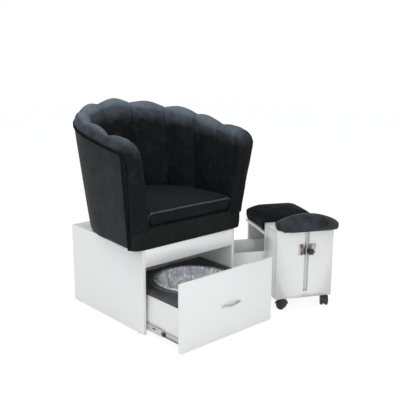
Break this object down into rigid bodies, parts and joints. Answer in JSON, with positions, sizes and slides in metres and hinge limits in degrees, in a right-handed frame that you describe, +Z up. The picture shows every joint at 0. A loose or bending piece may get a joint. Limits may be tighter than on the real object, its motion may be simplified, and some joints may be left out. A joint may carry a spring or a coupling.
{
  "type": "pedicure bench",
  "caption": "Pedicure bench: scallop-back tub chair on a white platform with a foot-bath drawer, beside a rolling stool with a raised footrest pad and a side drawer",
  "frame": {"origin": "Bottom of the rear centre floor glide, under the middle of the platform's back panel", "axes": "+X to the left of a sitting person, where the stool stands; -Y the way the chair faces; +Z up"},
  "size_m": [1.5036, 1.2047, 1.221],
  "materials": {
    "laminate": "glossy white laminate",
    "velvet": "black velvet",
    "padding_cover": "matt black upholstery",
    "inner_frame": "raw plywood and foam, hidden",
    "speckled_board": "dark speckled textured board",
    "basin_shell": "grey moulded bowl",
    "film": "thin clear film with folds",
    "handle_metal": "satin metal",
    "slide_steel": "zinc-plated rolled steel",
    "bracket_steel": "plated steel",
    "black_plastic": "moulded black plastic",
    "wheel_tread": "black wheel plastic"
  },
  "bodies": {
    "bench": {"side_panel_left": "laminate", "side_panel_right": "laminate", "back_panel": "laminate", "top_deck": "laminate", "front_rail": "laminate", "floor_glides": "black_plastic", "slide_outers": "slide_steel", "chair_bolts": "bracket_steel", "seat_frame": "inner_frame", "front_apron": "velvet", "back_frame": "inner_frame", "outer_shell": "velvet", "back_channel_1": "velvet", "back_channel_2": "velvet", "back_channel_3": "velvet", "back_channel_4": "velvet", "back_channel_5": "velvet", "back_channel_6": "velvet", "back_channel_7": "velvet", "back_channel_8": "velvet", "back_channel_9": "velvet", "arm_front_left": "velvet", "arm_front_right": "velvet", "seat_cushion": "velvet"},
    "slide_carriage": {"slide_middles": "slide_steel"},
    "drawer": {"drawer_front": "laminate", "drawer_side_left": "laminate", "drawer_side_right": "laminate", "drawer_back": "laminate", "drawer_bottom": "laminate", "basin_board": "speckled_board", "foot_basin": "basin_shell", "basin_liner": "film", "drawer_handle": "handle_metal", "slide_inners": "slide_steel"},
    "stool": {"stool_base": "laminate", "stool_front_left": "laminate", "stool_front_right": "laminate", "stool_side_left": "laminate", "stool_side_right": "laminate", "stool_divider": "laminate", "stool_back": "laminate", "stool_top": "laminate", "stool_seat_board": "laminate", "stool_seat_cushion": "padding_cover", "clamp_brackets": "bracket_steel", "caster_plates": "bracket_steel"},
    "footrest": {"footrest_tongue": "laminate", "footrest_board": "inner_frame", "footrest_pad": "padding_cover"},
    "knob": {"clamp_knob": "black_plastic"},
    "stool_drawer": {"stool_drawer_box": "laminate"},
    "yoke_front_left": {"caster_yoke_front_left": "black_plastic"},
    "wheels_front_left": {"caster_wheels_front_left": "wheel_tread"},
    "yoke_front_right": {"caster_yoke_front_right": "black_plastic"},
    "wheels_front_right": {"caster_wheels_front_right": "wheel_tread"},
    "yoke_back_left": {"caster_yoke_back_left": "black_plastic"},
    "wheels_back_left": {"caster_wheels_back_left": "wheel_tread"},
    "yoke_back_right": {"caster_yoke_back_right": "black_plastic"},
    "wheels_back_right": {"caster_wheels_back_right": "wheel_tread"}
  },
  "joints": [
    {"name": "drawer_slide", "type": "slide", "parent": "bench", "child": "drawer", "axis": [0, -1, 0], "range_m": [-0.287, 0.19]},
    {"name": "carriage_slide", "type": "slide", "parent": "bench", "child": "slide_carriage", "axis": [0, -1, 0], "range_m": [-0.144, 0.096]},
    {"name": "stool_roll", "type": "slide", "parent": "bench", "child": "stool", "axis": [0.8942, -0.4478, 0], "range_m": [0, 0.5]},
    {"name": "footrest_lift", "type": "slide", "parent": "stool", "child": "footrest", "axis": [0, 0, 1], "range_m": [0, 0.15]},
    {"name": "knob_turn", "type": "hinge", "parent": "stool", "child": "knob", "pos_m": [0.62243, -1.05283, 0.362], "axis": [0.4478, 0.8942, 0], "continuous": true},
    {"name": "stool_drawer_slide", "type": "slide", "parent": "stool", "child": "stool_drawer", "axis": [0.8942, -0.4478, 0], "range_m": [0, 0.215]},
    {"name": "swivel_front_left", "type": "hinge", "parent": "stool", "child": "yoke_front_left", "pos_m": [0.504, -0.91636, 0.06], "axis": [0, 0, 1], "continuous": true},
    {"name": "roll_front_left", "type": "hinge", "parent": "yoke_front_left", "child": "wheels_front_left", "pos_m": [0.51021, -0.93747, 0.027], "axis": [0.9593, 0.2823, 0], "continuous": true},
    {"name": "swivel_front_right", "type": "hinge", "parent": "stool", "child": "yoke_front_right", "pos_m": [0.77046, -1.04979, 0.06], "axis": [0, 0, 1], "continuous": true},
    {"name": "roll_front_right", "type": "hinge", "parent": "yoke_front_right", "child": "wheels_front_right", "pos_m": [0.75447, -1.06491, 0.027], "axis": [0.6871, -0.7266, 0], "continuous": true},
    {"name": "swivel_back_left", "type": "hinge", "parent": "stool", "child": "yoke_back_left", "pos_m": [0.70459, -0.51578, 0.06], "axis": [0, 0, 1], "continuous": true},
    {"name": "roll_back_left", "type": "hinge", "parent": "yoke_back_left", "child": "wheels_back_left", "pos_m": [0.6826, -0.51517, 0.027], "axis": [-0.0279, -0.9996, 0], "continuous": true},
    {"name": "swivel_back_right", "type": "hinge", "parent": "stool", "child": "yoke_back_right", "pos_m": [0.97105, -0.64921, 0.06], "axis": [0, 0, 1], "continuous": true},
    {"name": "roll_back_right", "type": "hinge", "parent": "yoke_back_right", "child": "wheels_back_right", "pos_m": [0.97052, -0.62722, 0.027], "axis": [-0.9997, -0.0244, 0], "continuous": true}
  ],
  "couplings": [
    {"joint": "carriage_slide", "follows": "drawer_slide", "ratio": 0.5}
  ]
}
